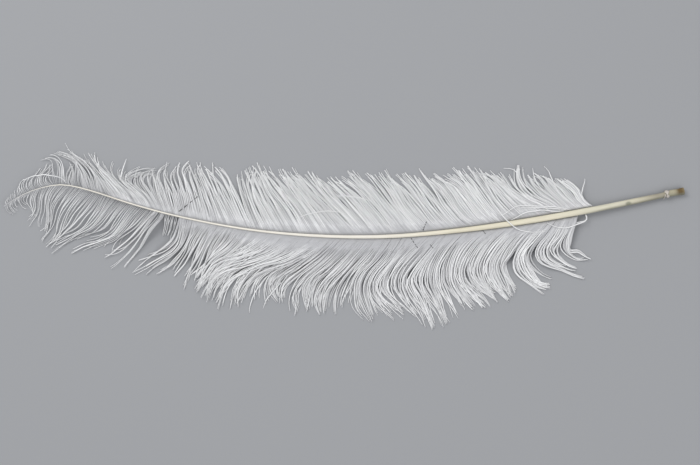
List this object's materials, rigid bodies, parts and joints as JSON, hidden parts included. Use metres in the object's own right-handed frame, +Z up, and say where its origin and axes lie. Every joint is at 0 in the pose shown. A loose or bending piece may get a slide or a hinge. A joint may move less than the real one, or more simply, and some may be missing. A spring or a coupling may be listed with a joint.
{
  "type": "ostrich feather",
  "caption": "Long white ostrich wing plume lying flat: bowed ivory shaft with a bare cut quill, soft drooping barbs bunched in locks on both sides.",
  "frame": {"origin": "middle of the feather's footprint, on the surface that it lies on", "axes": "+X along the feather from the thin tip to the cut quill, +Y to the side of the narrower outer vane, +Z up from the surface"},
  "size_m": [0.6012, 0.1592, 0.0109],
  "materials": {
    "quill": "smooth satin keratin, ivory, paler towards the tip, brown at the cut end",
    "barbs": "soft matt down, cool white"
  },
  "bodies": {
    "root": {"shaft": "quill", "outer_vane": "barbs", "inner_vane": "barbs"}
  },
  "joints": []
}
